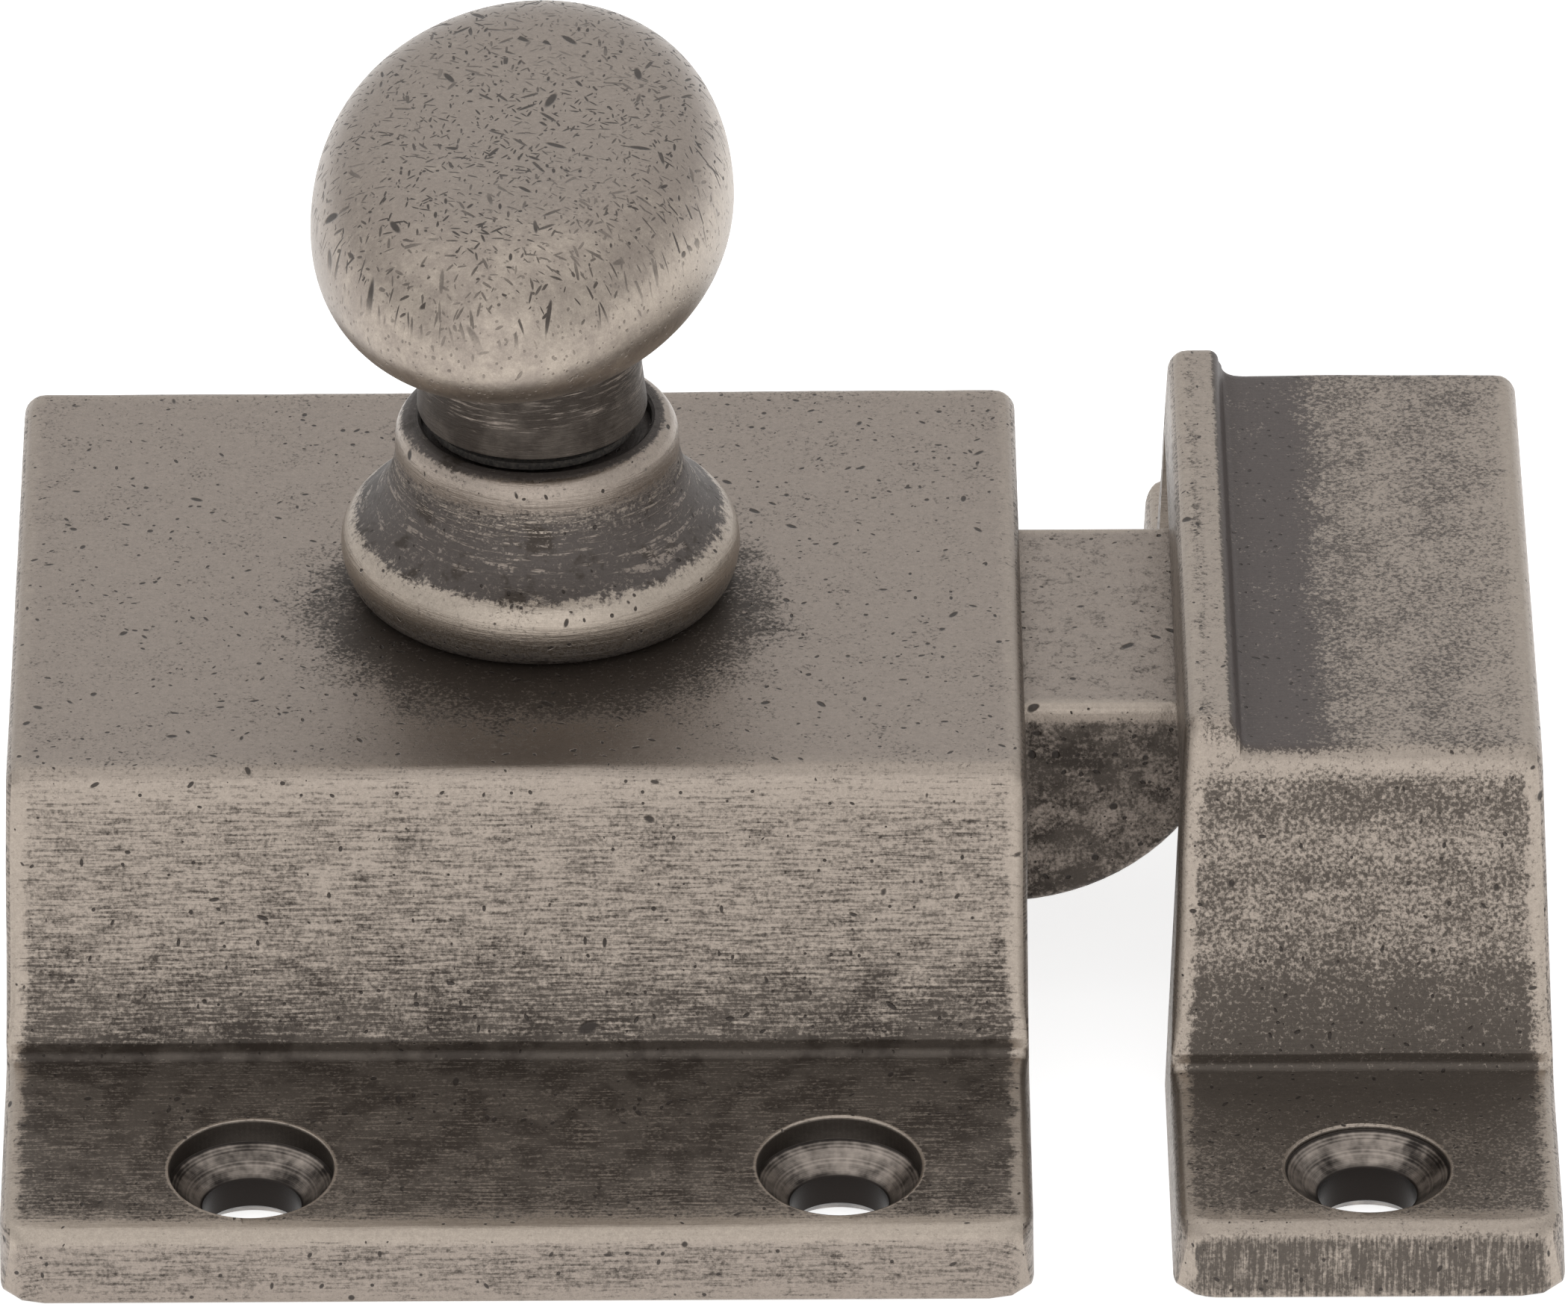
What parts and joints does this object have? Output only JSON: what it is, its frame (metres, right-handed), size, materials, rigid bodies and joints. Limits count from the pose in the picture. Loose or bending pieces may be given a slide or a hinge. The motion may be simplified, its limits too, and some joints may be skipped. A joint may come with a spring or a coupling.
{
  "type": "cabinet turn latch",
  "caption": "Surface-mounted cabinet turn latch: oval knob on a turned rose, sprung half-round bolt, cast case and raised-lip strike.",
  "frame": {"origin": "centre of the case's back, in the mounting plane", "axes": "+Z out of the mounting plane, +X along the bolt's throw towards the strike, +Y along the case's long side"},
  "size_m": [0.0518, 0.0512, 0.0307],
  "materials": {
    "pewter_case": "cast brass with an antique pewter plate, dark patina in the coves, worn pale on the edges",
    "pewter_strike": "cast brass with an antique pewter plate, dark patina beside the rib and in the coves",
    "pewter_rose": "turned brass with an antique pewter plate, dark in the flare, worn pale on the beads",
    "pewter_knob": "cast brass with an antique pewter plate, pitted and softly worn",
    "pewter_bolt": "cast brass with an antique pewter plate, speckled",
    "fibre_washer": "dark pressed fibre",
    "turned_steel": "turned mild steel, lightly oiled",
    "washer_steel": "stamped steel, zinc plated",
    "cam_steel": "stamped steel, zinc plated, sheared edge",
    "screw_steel": "small machine screws, zinc plated",
    "spring_steel": "drawn spring wire",
    "plate_steel": "rolled sheet steel, zinc plated"
  },
  "bodies": {
    "case": {"case": "pewter_case", "strike": "pewter_strike", "rose": "pewter_rose", "back_plate": "plate_steel", "back_plate_screw_front_left": "screw_steel", "back_plate_screw_front_right": "screw_steel", "back_plate_screw_rear_left": "screw_steel", "back_plate_screw_rear_right": "screw_steel", "spring_guide": "turned_steel", "bolt_spring": "spring_steel"},
    "knob": {"knob": "pewter_knob", "knob_washer": "fibre_washer", "spindle": "turned_steel", "thrust_washer": "washer_steel", "cam": "cam_steel", "cam_washer": "washer_steel", "cam_screw": "screw_steel"},
    "bolt": {"bolt": "pewter_bolt"}
  },
  "joints": [
    {"name": "knob_turn", "type": "hinge", "parent": "case", "child": "knob", "pos_m": [0.00055, 0, 0.0131], "axis": [0, 0, -1], "range_deg": [0, 75]},
    {"name": "bolt_slide", "type": "slide", "parent": "case", "child": "bolt", "axis": [-1, 0, 0], "range_m": [0, 0.00523], "stiffness_N_per_m": 120, "springref_m": -0.003, "deforming": ["bolt_spring"]}
  ],
  "couplings": [
    {"joint": "knob_turn", "follows": "bolt_slide", "rad_per_m": 250}
  ]
}
